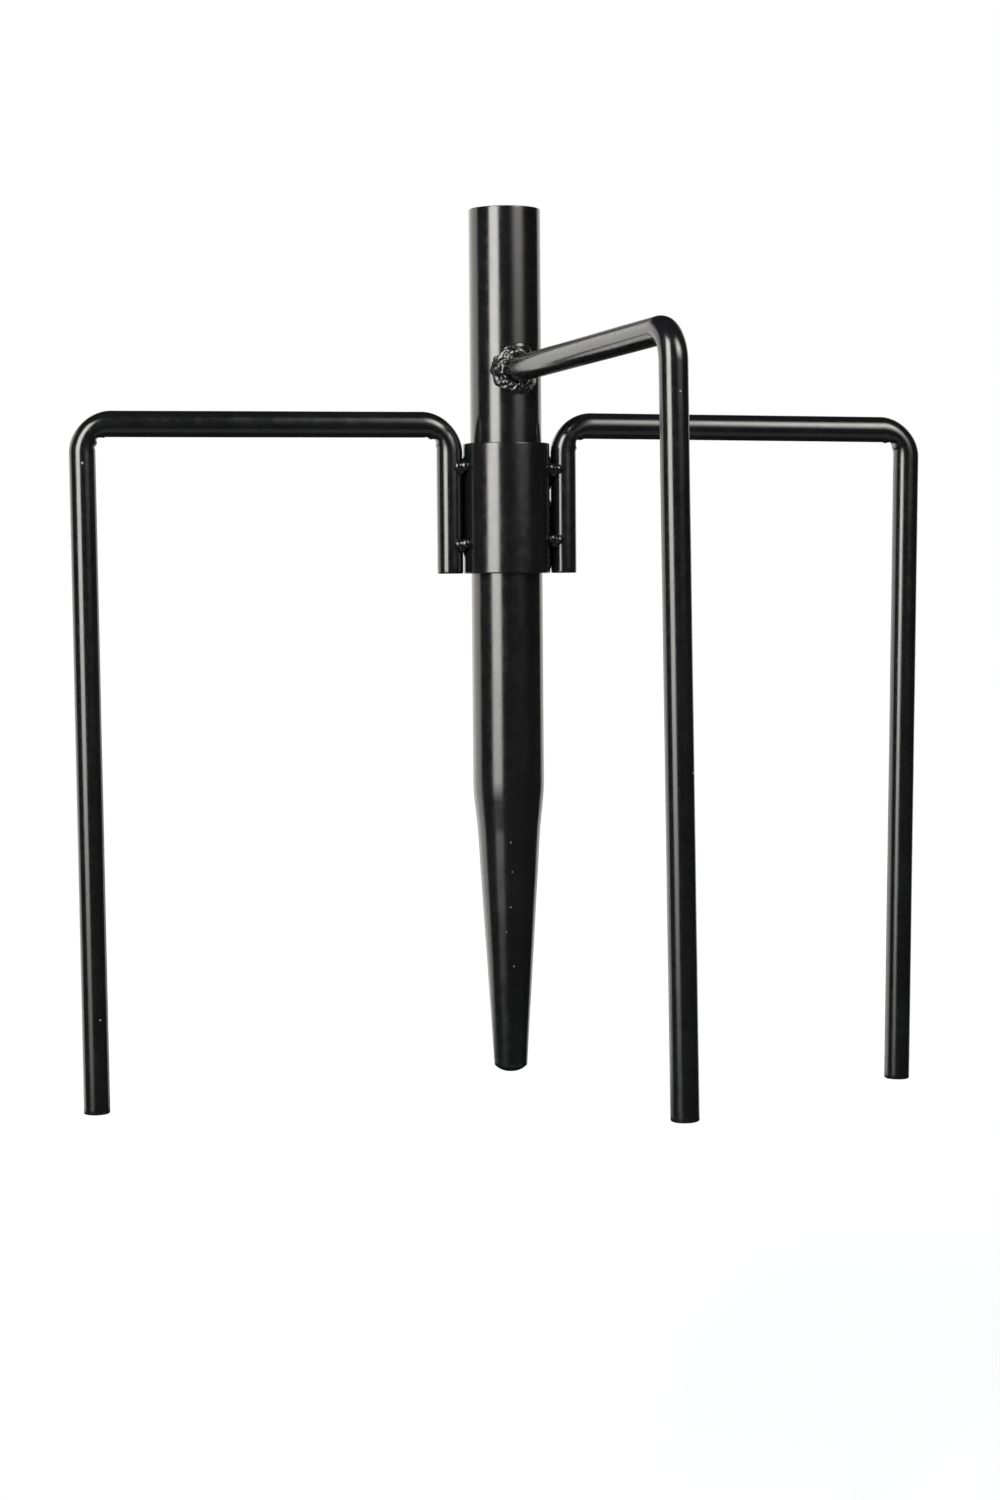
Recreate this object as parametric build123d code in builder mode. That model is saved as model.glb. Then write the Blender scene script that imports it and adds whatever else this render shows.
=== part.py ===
"""Ground stake of a bird feeding station: a spiked tube with one prong welded on and two on a swivel collar.

Units are millimetres. +Z runs up the pole, and the origin is on the pole's axis at soil level, where the
undersides of the collar's arms come to rest. The collar's prongs lie along X in the spread position, and
the welded prong points to the front, towards -Y.
"""

import os
from math import cos, pi, radians, sin, sqrt, tan

from build123d import *

# Stock sizes: 22 mm tube for the pole, 8 mm round bar, and 26.9 mm tube for the collar
POLE_RADIUS = 11.0
POLE_WALL = 1.0
ROD_RADIUS = 4.0
COLLAR_RADIUS = 13.45
COLLAR_CLEARANCE = 0.15

# Heights above soil level
POLE_TOP = 70.0
FIXED_ARM_HEIGHT = 20.1
COLLAR_TOP = -1.8
COLLAR_LENGTH = 40.0
SHOULDER_TOP = -109.0
SHOULDER_FOOT = -121.0
SPIKE_END = -196.0
COLLAR_PRONG_TIP = -205.1
FIXED_PRONG_TIP = -191.3

# The pole's swaged spike, and the domed plug that closes it
SHOULDER_FOOT_RADIUS = 9.75
SHOULDER_BEND_RADIUS = 60.0
SPIKE_END_RADIUS = 5.1
SPIKE_END_WALL = 1.9
SPIKE_END_ROUND = 1.1
PLUG_DEPTH = 4.0
PLUG_CROWN = 1.1

# The bent prongs. A bearing is counted from +X, and an angle is in degrees
PRONG_REACH = 130.2
BEND_RADIUS = 8.8
LEFT_STUB_GAP = 0.4
RIGHT_STUB_GAP = 0.6
FIXED_BEARING = -81.6
FIXED_ARM_RISE = 1.42
FIXED_LEG_LEAN = 0.7
FIXED_ROLL = 0.98
LEFT_BEARING = 180.0
LEFT_ARM_RISE = 0.0
LEFT_LEG_LEAN = 0.35
RIGHT_BEARING = 0.0
RIGHT_ARM_RISE = -0.55
RIGHT_LEG_LEAN = 0.88

# The weld round the welded prong's foot is a ring of beads, and every third of the way round they swell
RING_BEADS = 14
RING_RADIUS = 5.0
RING_BEAD_RADIUS = 2.35
RING_SWELL = 0.2
RING_BEAD_PROUD = 0.4

# Each front tack between the collar and a stub is two beads, one a little below and outside the other.
# A tack is given as its side along X and its height, and a back seam as its side, its top and its foot
TACK_RADIUS = 2.1
TACK_DROP_RADIUS = 1.6
TACK_OUT = 14.5
TACK_OFF = 3.3
TACK_DROP_OUT = 0.6
TACK_DROP_DOWN = 1.4
TACKS = {
    "left_upper_tack": (-1, -8.7),
    "left_lower_tack": (-1, -32.4),
    "right_upper_tack": (1, -9.3),
    "right_lower_tack": (1, -30.9),
}
SEAM_RADIUS = 2.0
SEAM_OUT = 14.6
SEAM_OFF = 3.2
SEAMS = {
    "left_back_seam": (-1, -5.5, -36.5),
    "right_upper_back_seam": (1, -5.5, -15.7),
    "right_lower_back_seam": (1, -19.2, -40.5),
}

# Beads on the back of the pole, above and below the collar, that keep it from sliding
STOP_RADIUS = 2.2
STOP_PROUD = 0.5
STOP_CLEARANCE = 0.35

END_ROUND = 0.5
EDGE_BREAK = 0.3

COLLAR_FOOT = COLLAR_TOP - COLLAR_LENGTH
LEFT_STUB = COLLAR_RADIUS + LEFT_STUB_GAP + ROD_RADIUS
RIGHT_STUB = COLLAR_RADIUS + RIGHT_STUB_GAP + ROD_RADIUS
POLE_BORE_RADIUS = POLE_RADIUS - POLE_WALL
SPIKE_BORE_RADIUS = SPIKE_END_RADIUS - SPIKE_END_WALL


def save(part, name):
    """Labels a finished piece and writes it as one STEP file."""
    part.label = name
    export_step(part, f"parts/{name}.step")


def prong_plane(bearing, height, roll=0.0):
    """Plane from the pole's axis: its x runs out along the bearing, and its y runs up.

    A positive roll leans the plane about its x, so that what hangs below the x swings counterclockwise
    round the pole, seen from above.
    """
    turn = radians(bearing)
    lean = radians(roll)
    outward = (cos(turn), sin(turn), 0)
    normal = (sin(turn) * cos(lean), -cos(turn) * cos(lean), -sin(lean))
    return Plane(origin=(0, 0, height), x_dir=outward, z_dir=normal)


def leg_corners(rise, lean, tip):
    """The arm's outer corner and the leg's tip, as (out, up) from where the arm meets the pole's axis."""
    corner = PRONG_REACH * tan(radians(rise))
    foot = PRONG_REACH - (corner - tip) * tan(radians(lean))
    return [(PRONG_REACH, corner), (foot, tip)]


def bent_rod(plane, corners):
    """Round bar bent at the corners of a route on the plane, with both ends rounded."""
    with BuildPart() as rod:
        with BuildLine(plane) as route:
            FilletPolyline(*corners, radius=BEND_RADIUS)
        with BuildSketch(Plane(origin=route.line @ 0, z_dir=route.line % 0)):
            Circle(ROD_RADIUS)
        sweep(path=route.line)
        fillet(rod.faces().filter_by(GeomType.PLANE).edges(), END_ROUND)
    return rod.part


def collar_prong(bearing, stub_out, rise, lean):
    """Prong of the collar: a stub that stands beside the collar, an arm and a leg."""
    stub_foot = (stub_out, COLLAR_FOOT - ROD_RADIUS)
    stub_head = (stub_out, stub_out * tan(radians(rise)))
    corners = leg_corners(rise, lean, COLLAR_PRONG_TIP - ROD_RADIUS)
    return bent_rod(prong_plane(bearing, ROD_RADIUS), [stub_foot, stub_head, *corners])


def stub_centre(side):
    """Where a stub stands along X, on the left for a side of -1 and on the right for 1."""
    return -LEFT_STUB if side < 0 else RIGHT_STUB


def tack(side, height):
    """Tack in the front groove between the collar and a stub."""
    with BuildPart() as bead:
        with Locations((side * TACK_OUT, -TACK_OFF, height)):
            Sphere(TACK_RADIUS)
        with Locations((side * (TACK_OUT + TACK_DROP_OUT), -TACK_OFF, height - TACK_DROP_DOWN)):
            Sphere(TACK_DROP_RADIUS)
        with Locations((0, 0, height)):
            Cylinder(COLLAR_RADIUS, COLLAR_LENGTH, mode=Mode.SUBTRACT)
        with Locations((stub_centre(side), 0, height)):
            Cylinder(ROD_RADIUS, COLLAR_LENGTH, mode=Mode.SUBTRACT)
    return bead.part


def seam(side, top, foot):
    """Long round-ended bead in the back groove between the collar and a stub."""
    out = side * SEAM_OUT
    middle = (top + foot) / 2
    reach = (top - foot) / 2 - SEAM_RADIUS
    with BuildPart() as bead:
        with Locations((out, SEAM_OFF, middle)):
            Cylinder(SEAM_RADIUS, 2 * reach)
        with Locations((out, SEAM_OFF, middle - reach), (out, SEAM_OFF, middle + reach)):
            Sphere(SEAM_RADIUS)
        with Locations((0, 0, middle)):
            Cylinder(COLLAR_RADIUS, 2 * COLLAR_LENGTH, mode=Mode.SUBTRACT)
        with Locations((stub_centre(side), 0, middle)):
            Cylinder(ROD_RADIUS, 2 * COLLAR_LENGTH, mode=Mode.SUBTRACT)
    return bead.part


def stop_bead(height):
    """Bead on the back of the pole."""
    with BuildPart() as bead:
        with Locations((0, POLE_RADIUS + STOP_PROUD, height)):
            Sphere(STOP_RADIUS)
        with Locations((0, 0, height)):
            Cylinder(POLE_RADIUS, COLLAR_LENGTH, mode=Mode.SUBTRACT)
    return bead.part


os.makedirs("parts", exist_ok=True)

# Pole: one tube, open at the top and swaged down to a spike at the bottom
with BuildPart() as pole:
    with BuildSketch(Plane.XZ):
        with BuildLine():
            outside = FilletPolyline(
                (POLE_RADIUS, POLE_TOP),
                (POLE_RADIUS, SHOULDER_TOP),
                (SHOULDER_FOOT_RADIUS, SHOULDER_FOOT),
                (SPIKE_END_RADIUS, SPIKE_END),
                radius=SHOULDER_BEND_RADIUS,
            )
            inside = FilletPolyline(
                (POLE_BORE_RADIUS, POLE_TOP),
                (POLE_BORE_RADIUS, SHOULDER_TOP),
                (SHOULDER_FOOT_RADIUS - POLE_WALL, SHOULDER_FOOT),
                (SPIKE_BORE_RADIUS, SPIKE_END + PLUG_DEPTH),
                radius=SHOULDER_BEND_RADIUS,
            )
            Line(outside @ 0, inside @ 0)
            Polyline(inside @ 1, (SPIKE_BORE_RADIUS, SPIKE_END), outside @ 1)
        make_face()
    revolve(axis=Axis.Z)
    fillet(pole.faces().sort_by(Axis.Z)[0].edges().sort_by(SortBy.RADIUS)[-1], SPIKE_END_ROUND)
    chamfer(pole.faces().sort_by(Axis.Z)[-1].edges(), EDGE_BREAK)
save(pole.part, "spiked_pole")

# Plug: a short bar with a domed face that closes the spike
with BuildPart() as plug:
    with BuildSketch(Plane.XZ):
        with BuildLine():
            crown = TangentArc(
                (0, SPIKE_END - PLUG_CROWN), (SPIKE_BORE_RADIUS, SPIKE_END), tangent=(1, 0)
            )
            Polyline(
                crown @ 1,
                (SPIKE_BORE_RADIUS, SPIKE_END + PLUG_DEPTH),
                (0, SPIKE_END + PLUG_DEPTH),
                crown @ 0,
            )
        make_face()
    revolve(axis=Axis.Z)
save(plug.part, "spike_tip_plug")

# Welded prong: its arm is cut to the pole's round wall, and its leg goes down in front
fixed_start = (0, 0)
fixed_corners = leg_corners(FIXED_ARM_RISE, FIXED_LEG_LEAN, FIXED_PRONG_TIP - FIXED_ARM_HEIGHT)
with BuildPart() as fixed_prong:
    add(bent_rod(prong_plane(FIXED_BEARING, FIXED_ARM_HEIGHT, FIXED_ROLL), [fixed_start, *fixed_corners]))
    with Locations((0, 0, FIXED_ARM_HEIGHT)):
        Cylinder(POLE_RADIUS, COLLAR_LENGTH, mode=Mode.SUBTRACT)
save(fixed_prong.part, "fixed_prong")

# Weld: beads in a ring round the arm's foot, each set on the pole's round wall
weld_plane = prong_plane(FIXED_BEARING, FIXED_ARM_HEIGHT)
with BuildPart() as weld:
    for bead in range(RING_BEADS):
        around = 2 * pi * bead / RING_BEADS
        aside = RING_RADIUS * cos(around)
        up = RING_RADIUS * sin(around)
        out = sqrt(POLE_RADIUS**2 - aside**2) + RING_BEAD_PROUD
        with Locations(weld_plane.from_local_coords((out, up, aside))):
            Sphere(RING_BEAD_RADIUS + RING_SWELL * sin(3 * around))
    with Locations((0, 0, FIXED_ARM_HEIGHT)):
        Cylinder(POLE_RADIUS, COLLAR_LENGTH, mode=Mode.SUBTRACT)
    add(fixed_prong.part, mode=Mode.SUBTRACT)
save(weld.part, "fixed_prong_weld")

# Collar: a short tube that turns on the pole
with BuildPart() as collar:
    with BuildSketch(Plane.XY.offset(COLLAR_FOOT)):
        Circle(COLLAR_RADIUS)
        Circle(POLE_RADIUS + COLLAR_CLEARANCE, mode=Mode.SUBTRACT)
    extrude(amount=COLLAR_LENGTH)
    chamfer(collar.edges().filter_by(GeomType.CIRCLE), EDGE_BREAK)
save(collar.part, "swivel_collar")

# The collar's two prongs
save(collar_prong(LEFT_BEARING, LEFT_STUB, LEFT_ARM_RISE, LEFT_LEG_LEAN), "left_prong")
save(collar_prong(RIGHT_BEARING, RIGHT_STUB, RIGHT_ARM_RISE, RIGHT_LEG_LEAN), "right_prong")

# Welds that join each stub to the collar: short tacks in front and long seams at the back
for name, place in TACKS.items():
    save(tack(*place), name)
for name, place in SEAMS.items():
    save(seam(*place), name)

# Stops for the collar
save(stop_bead(COLLAR_TOP + STOP_CLEARANCE + STOP_RADIUS), "upper_stop_bead")
save(stop_bead(COLLAR_FOOT - STOP_CLEARANCE - STOP_RADIUS), "lower_stop_bead")
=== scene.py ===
"""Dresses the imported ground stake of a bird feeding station: coated bars, pole, collar, welds and studio.

Lengths are metres and angles degrees unless a name says otherwise. The frame is the part's own: +Z up the
pole, soil level at z = 0, the collar's prongs along X and the welded prong towards -Y.
"""

import bpy
import numpy as np
from mathutils import Euler, Matrix, Vector


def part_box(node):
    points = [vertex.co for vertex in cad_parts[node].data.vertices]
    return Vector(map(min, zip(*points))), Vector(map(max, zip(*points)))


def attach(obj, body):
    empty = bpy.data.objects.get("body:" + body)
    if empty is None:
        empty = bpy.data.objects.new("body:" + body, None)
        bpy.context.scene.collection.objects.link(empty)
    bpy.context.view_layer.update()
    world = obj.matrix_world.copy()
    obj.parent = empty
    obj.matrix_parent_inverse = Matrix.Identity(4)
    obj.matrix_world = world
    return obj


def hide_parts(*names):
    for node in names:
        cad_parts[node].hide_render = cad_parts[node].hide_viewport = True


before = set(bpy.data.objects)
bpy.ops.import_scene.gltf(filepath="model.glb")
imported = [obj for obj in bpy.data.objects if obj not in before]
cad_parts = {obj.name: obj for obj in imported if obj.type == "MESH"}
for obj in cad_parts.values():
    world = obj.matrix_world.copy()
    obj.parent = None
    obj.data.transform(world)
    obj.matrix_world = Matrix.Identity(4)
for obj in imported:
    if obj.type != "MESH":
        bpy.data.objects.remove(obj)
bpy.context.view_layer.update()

bl_info = {
    "name": "Ground Stake Dresser",
    "version": (1, 0, 0),
    "blender": (4, 5, 0),
    "location": "3D View > Sidebar > Stake",
    "description": "Builds the coated surfaces, the welds and the studio of a feeder pole's ground stake",
    "category": "Object",
}

MM = 0.001

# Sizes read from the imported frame
POLE_LOW, POLE_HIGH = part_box("spiked_pole")
COLLAR_LOW, COLLAR_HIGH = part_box("swivel_collar")
PLUG_LOW, PLUG_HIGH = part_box("spike_tip_plug")

# Where the bars run. A rise, lean or roll is in degrees, and a bearing is counted from +X
ARM_REACH = 130.2 * MM
LEFT_STUB_OUT = 17.85 * MM
RIGHT_STUB_OUT = 18.05 * MM
COLLAR_ARM_HEIGHT = 4.0 * MM
COLLAR_LEG_TIP = -205.1 * MM
FRONT_ARM_HEIGHT = 20.1 * MM
FRONT_LEG_TIP = -191.3 * MM
LEFT_BEARING = 180.0
LEFT_ARM_RISE = 0.0
LEFT_LEG_LEAN = 0.35
RIGHT_BEARING = 0.0
RIGHT_ARM_RISE = -0.55
RIGHT_LEG_LEAN = 0.88
FRONT_BEARING = -81.6
FRONT_ARM_RISE = 1.42
FRONT_LEG_LEAN = 0.7
FRONT_ROLL = 0.98

# Panels that the coat reflects. Each is its left and right edge and their blur in degrees from the camera,
# its foot and the foot's blur, its top and the top's blur in metres, and its brightness
PANELS = (
    (-50.5, -20.5, 9.0, -0.175, 0.65, 1.2, 0.6, 11.0),
    (28.5, 59.0, 22.0, 0.34, 0.8, 1.15, 1.3, 11.4),
    (-160.0, -99.0, 6.0, -0.75, 0.2, 0.6, 0.3, 1.75),
    (133.0, 160.0, 6.0, -0.75, 0.2, 0.6, 0.3, 1.2),
    (-181.0, -158.0, 8.0, -0.2, 0.2, 0.45, 0.3, 0.7),
    (158.0, 181.0, 8.0, -0.2, 0.2, 0.45, 0.3, 0.5),
)

# Creases inside the bends: where each is along the bend, how wide, and its height, where below 0 is a nick
LEFT_CREASES = ((0.3, 0.06, 0.5), (0.62, 0.08, 1.0), (0.8, 0.05, -0.5))
RIGHT_CREASES = ((0.24, 0.07, 0.8), (0.44, 0.05, -0.6), (0.62, 0.08, 0.7))
FRONT_CREASES = ((0.35, 0.09, 0.6), (0.58, 0.05, -0.4), (0.7, 0.07, 0.6))

# Pale grey specks that stand proud of the coat and show as bright dots: the round they sit on, height, side
# angle from the eye, radius
NIBS = (
    ("left", -7.9, 0.0, 0.42), ("left", -176.0, 24.0, 0.3), ("left", -88.0, -150.0, 0.3),
    ("right", -92.3, -13.0, 0.28), ("right", -31.0, 160.0, 0.3), ("right", -150.0, 75.0, 0.26),
    ("front", 6.0, 26.0, 0.32), ("front", -96.0, 64.0, 0.24), ("front", -140.0, 170.0, 0.3),
    ("spike", -124.8, 3.0, 0.24), ("spike", -134.0, 6.0, 0.18), ("spike", -145.0, 2.0, 0.22),
    ("spike", -152.8, -8.0, 0.18), ("spike", -163.6, 10.0, 0.22), ("spike", -170.0, 150.0, 0.3),
)

# The pole's swaged spike
SHOULDER_TOP = -109.0 * MM
SHOULDER_FOOT = -121.0 * MM
SHOULDER_FOOT_RADIUS = 9.75 * MM
SPIKE_END_RADIUS = 5.1 * MM
SPIKE_BORE_RADIUS = 3.2 * MM

# The front prong's weld ring in millimetres: section, ring, and how far lumps, pits, grit and crest stand out
RING_SECTION = 1.75
RING_RADIUS = 5.2
RING_LUMP, RING_PIT, RING_GRIT = 0.28, 0.2, 0.05
RING_CREST = 0.55

# Where the crest and the swell under it stand round the ring, and the crest round its section, in radians
CREST_TURN = 1.78
SWELL_TURN = 1.75
CREST_SECTION_TURN = 0.55

# Front tacks: centre in millimetres, the side that the stub's lobe is on, and the seed of its lumps
TACKS = {
    "left_upper_tack": ((-14.6, -3.3, -9.0), 1, 51),
    "left_lower_tack": ((-14.6, -3.3, -32.9), 1, 52),
    "right_upper_tack": ((14.2, -3.4, -9.8), -1, 53),
    "right_lower_tack": ((14.4, -3.4, -31.6), -1, 54),
}
TACK_ROUGHNESS = 0.022

# Hidden welds, each with the seed of its lumps, and the lobes of a stop bead in millimetres
BACK_SEAMS = (("left_back_seam", 61), ("right_upper_back_seam", 62), ("right_lower_back_seam", 63))
STOP_BEADS = (("upper_stop_bead", 71), ("lower_stop_bead", 72))
STOP_LOBES = (((0.5, -0.4, 0.1), 1.55), ((-0.6, -0.4, -0.1), 1.5))
STOP_ROUGHNESS = 0.03

# The lamp: degrees to the left of the camera, distance from the pole, height, and the height it aims at
LAMP_BEARING = 20.0
LAMP_REACH = 1.5
LAMP_HEIGHT = 0.9
LAMP_AIM_HEIGHT = -0.07

# The floor's paleness, its half width, and the world's mean grey
PALENESS = 0.9
FLOOR_REACH = 8.0
WORLD_GREY = 0.985

# The wall of panels and the cloths round it
WALL_RADIUS = 1.1
CLOTH_REACH = 1.3
WALL_TOP = 3.2


def angle(degrees):
    """Radians of an angle in degrees."""
    return float(np.radians(degrees))


def smooth(t):
    """Smooth step: 3t^2 - 2t^3 on t held between 0 and 1."""
    t = np.clip(t, 0.0, 1.0)
    return t * t * (3.0 - 2.0 * t)


def hump(t, middle, width):
    """Bell curve of height 1: e to the minus square of the distance from the middle over the width."""
    return np.exp(-(((t - middle) / width) ** 2))


def ripples(seed, count, *phases):
    """Sum of sines of random slant over the given phases, softly held between -1 and 1."""
    rng = np.random.default_rng(seed)
    total = 0.0
    for _ in range(count):
        mix = rng.normal(size=len(phases))
        total = total + np.sin(sum(m * p for m, p in zip(mix, phases)) + rng.uniform(0, 2 * np.pi))
    return np.tanh(total / np.sqrt(count))


def mesh_object(name, points, faces):
    """New object at the origin from points in the row frame, smooth, with its faces turned outwards."""
    a, b, c = (points[faces[:, i]] for i in range(3))
    volume = np.einsum("ij,ij->i", a, np.cross(b, c)).sum()
    if faces.shape[1] == 4:
        d = points[faces[:, 3]]
        volume = volume + np.einsum("ij,ij->i", a, np.cross(c, d)).sum()
    if volume < 0:
        faces = faces[:, ::-1]
    distinct = [list(dict.fromkeys(face)) for face in faces.tolist()]
    mesh = bpy.data.meshes.new(name)
    mesh.from_pydata(points.tolist(), [], distinct)
    mesh.shade_smooth()
    piece = bpy.data.objects.new(name, mesh)
    bpy.context.scene.collection.objects.link(piece)
    return piece


def ring_faces(rows, sides, closed):
    """Quads between rows of points, each row a ring; closed joins the last row to the first."""
    row, side = np.meshgrid(np.arange(rows if closed else rows - 1), np.arange(sides), indexing="ij")
    after = (row + 1) % rows
    beside = (side + 1) % sides
    corners = (row * sides + side, row * sides + beside, after * sides + beside, after * sides + side)
    return np.stack(corners, -1).reshape(-1, 4)


def capped_tube(name, rings):
    """Closed surface from rings of points (rows, sides, 3), where each end row is shrunk to one point."""
    rows, sides = rings.shape[:2]
    points = rings[1:-1].reshape(-1, 3)
    faces = ring_faces(rows - 2, sides, False)
    start, end = len(points), len(points) + 1
    side = np.arange(sides)
    beside = (side + 1) % sides
    last = (rows - 3) * sides
    first_fan = np.stack([np.full(sides, start), beside, side, side], -1)
    last_fan = np.stack([np.full(sides, end), last + side, last + beside, last + beside], -1)
    points = np.concatenate([points, rings[0, :1], rings[-1, :1]])
    return mesh_object(name, points, np.concatenate([faces, first_fan, last_fan]))


def closed_ring(name, rings):
    """Closed surface from rings of points (rows, sides, 3) whose last row joins the first, like a tyre."""
    rows, sides = rings.shape[:2]
    return mesh_object(name, rings.reshape(-1, 3), ring_faces(rows, sides, True))


def tangent_arc(before, corner, after, radius):
    """Arc that rounds a corner: its start and end, the heading in, the turn, the centre and the way out."""
    run_in = (corner - before) / np.linalg.norm(corner - before)
    run_out = (after - corner) / np.linalg.norm(after - corner)
    heading = np.arctan2(run_in[1], run_in[0])
    turn = np.arctan2(run_in[0] * run_out[1] - run_in[1] * run_out[0], run_in @ run_out)
    back = radius * np.tan(abs(turn) / 2)
    start = corner - run_in * back
    centre = start + np.sign(turn) * radius * np.array([-run_in[1], run_in[0]])
    return start, corner + run_out * back, heading, turn, centre, run_out


def on_arc(centre, radius, turn, swing):
    """Points of an arc at the headings in swing, where the sign of the turn says which side its centre is."""
    return centre - np.sign(turn) * radius * np.stack([-np.sin(swing), np.cos(swing)], -1)


def bent_line(corners, radius, run_step, bend_step):
    """Centre line of a bent bar: straight runs joined by tangent arcs of one radius.

    Returns points (n, 2), the heading angle at each, and how far each is into a bend: 0 on a run, and
    sin squared of the arc's share on a bend, positive where the bar turns left. It also returns that share.
    """
    corners = np.asarray(corners, float)
    points, headings, depths, shares = [], [], [], []
    here = corners[0]
    for before, corner, after in zip(corners, corners[1:], corners[2:]):
        start, end, heading, turn, centre, run_out = tangent_arc(before, corner, after, radius)
        steps = int(np.linalg.norm(start - here) / run_step) + 2
        share = np.linspace(0, 1, steps, endpoint=False)
        points.append(here + (start - here) * share[:, None])
        headings.append(np.full(steps, heading))
        depths.append(np.zeros(steps))
        shares.append(np.zeros(steps))
        steps = int(radius * abs(turn) / bend_step)
        share = np.linspace(0, 1, steps, endpoint=False)
        swing = heading + turn * share
        points.append(on_arc(centre, radius, turn, swing))
        headings.append(swing)
        depths.append(np.sign(turn) * np.sin(np.pi * share) ** 2)
        shares.append(share)
        here = end
    steps = int(np.linalg.norm(corners[-1] - here) / run_step) + 2
    share = np.linspace(0, 1, steps)
    points.append(here + (corners[-1] - here) * share[:, None])
    headings.append(np.full(steps, np.arctan2(run_out[1], run_out[0])))
    depths.append(np.zeros(steps))
    shares.append(np.zeros(steps))
    return tuple(np.concatenate(values) for values in (points, headings, depths, shares))


def prong_axes(bearing, height, roll):
    """Origin, outward, upward and sideways axes of a prong's plane, which stands on the pole's axis."""
    turn, lean = angle(bearing), angle(roll)
    outward = np.array([np.cos(turn), np.sin(turn), 0.0])
    sideways = np.array([np.sin(turn) * np.cos(lean), -np.cos(turn) * np.cos(lean), -np.sin(lean)])
    upward = np.cross(sideways, outward)
    return np.array([0.0, 0.0, height]), outward, upward, sideways


def prong_corners(rise, lean, tip):
    """The arm's outer corner and the leg's tip in a prong's plane, counted from the pole's axis."""
    corner = ARM_REACH * np.tan(angle(rise))
    foot = ARM_REACH - (corner - tip) * np.tan(angle(lean))
    return [(ARM_REACH, corner), (foot, tip)]


def bent_bar(name, bearing, height, roll, corners, seed, creases, sizes):
    """Round bar with crushed bends.

    Each ring is the bar's centre plus its radius times (cos t along the bend's inside, sin t sideways). In a
    bend the inside kinks: it sinks by the gap between its arc and the corner of its two straight lines, which
    is (R - r) / cos(angle from the nearer end) - (R - r), softly held. Small creases stand on the kink as
    bells along the arc, and the outside flattens. The ends are a quarter round and a flat face, and long
    shallow waves stand for the coat's flow.
    """
    origin, outward, upward, sideways = prong_axes(bearing, height, roll)
    centre, heading, depth, share = bent_line(corners, sizes.bend_radius, sizes.run_step, sizes.bend_step)
    edge = sizes.bar_edge
    quarter = np.linspace(0, np.pi / 2, 7)
    dome_radius = sizes.bar_radius - edge + edge * np.cos(quarter)
    dome_shift = edge * np.sin(quarter) - edge
    face_radius = (sizes.bar_radius - edge) * np.array([0.97, 0.9, 0.6, 0.3, 0.0])
    end_radius = np.concatenate([dome_radius, face_radius])
    end_shift = np.concatenate([dome_shift, np.zeros(len(face_radius))])
    along = np.stack([np.cos(heading), np.sin(heading)], -1)
    keep = slice(1, -1)
    first = centre[0] - along[0] * end_shift[::-1, None]
    last = centre[-1] + along[-1] * end_shift[:, None]
    count = len(end_radius)
    centre = np.concatenate([first, centre[keep], last])
    heading = np.concatenate([np.full(count, heading[0]), heading[keep], np.full(count, heading[-1])])
    depth = np.concatenate([np.zeros(count), depth[keep], np.zeros(count)])
    share = np.concatenate([np.zeros(count), share[keep], np.zeros(count)])
    plain = np.full(len(centre) - 2 * count, sizes.bar_radius)
    radius = np.concatenate([end_radius[::-1], plain, end_radius])
    length = np.concatenate([[0.0], np.cumsum(np.linalg.norm(np.diff(centre, axis=0), axis=1))])

    t = np.linspace(0, 2 * np.pi, sizes.bar_sides, endpoint=False)[None, :]
    inside = np.cos(t) * np.sign(depth)[:, None]
    strength = np.abs(depth)[:, None]
    near_end = np.minimum(share, 1 - share)[:, None] * np.pi / 2
    gap = (sizes.bend_radius - sizes.bar_radius) * (1 / np.cos(near_end) - 1)
    kink = sizes.kink * np.tanh(gap / sizes.kink) * np.clip(inside, 0, 1) ** 2
    crease = sum(stand * hump(share, middle, width) for middle, width, stand in creases)[:, None]
    crease = sizes.crease * crease * np.sqrt(strength) * np.clip(inside, 0, 1) ** 3
    flat = np.clip(-inside, 0, 1) ** 2 * strength
    s = length[:, None] / MM
    flow = ripples(seed, 7, s / 9.0, np.cos(t) * 1.6, np.sin(t) * 1.6)
    grown = radius[:, None] - kink + crease - sizes.flattening * flat
    grown = grown * (1 - sizes.coat_wave / sizes.bar_radius * (1 + flow) / 2)
    normal = np.stack([-np.sin(heading), np.cos(heading)], -1)
    plane = centre[:, None, :] + normal[:, None, :] * (grown * np.cos(t))[..., None]
    rings = origin + plane[..., :1] * outward + plane[..., 1:] * upward
    rings = rings + (grown * np.sin(t))[..., None] * sideways
    return capped_tube(name, rings)


def turned_shell(name, profile, sides, dent):
    """Surface of revolution about the pole's axis of a closed (radius, height) profile, like a tyre.

    dent(turn, radius, height) is how much each point's radius shrinks.
    """
    turn = np.linspace(0, 2 * np.pi, sides, endpoint=False)[None, :]
    radius, height = profile[:, :1], profile[:, 1:]
    radius = radius - dent(turn, radius, height)
    rings = np.stack([radius * np.cos(turn), radius * np.sin(turn), height + 0 * turn], -1)
    return closed_ring(name, rings)


def rounded_line(corners, radii, step, fine):
    """Open outline through corners, each rounded by its radius; runs are cut at step, arcs at fine."""
    corners = np.asarray(corners, float)
    pieces = []
    here = corners[0]
    for before, corner, after, radius in zip(corners, corners[1:], corners[2:], radii):
        start, end, heading, turn, centre, _ = tangent_arc(before, corner, after, radius)
        share = graded(np.linalg.norm(start - here), step, fine)
        pieces.append(here + (start - here) * share[:, None])
        steps = max(int(radius * abs(turn) / fine), 4)
        pieces.append(on_arc(centre, radius, turn, heading + turn * np.linspace(0, 1, steps, endpoint=False)))
        here = end
    share = graded(np.linalg.norm(corners[-1] - here), step, fine)
    pieces.append(here + (corners[-1] - here) * share[:, None])
    return np.concatenate(pieces)


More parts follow.
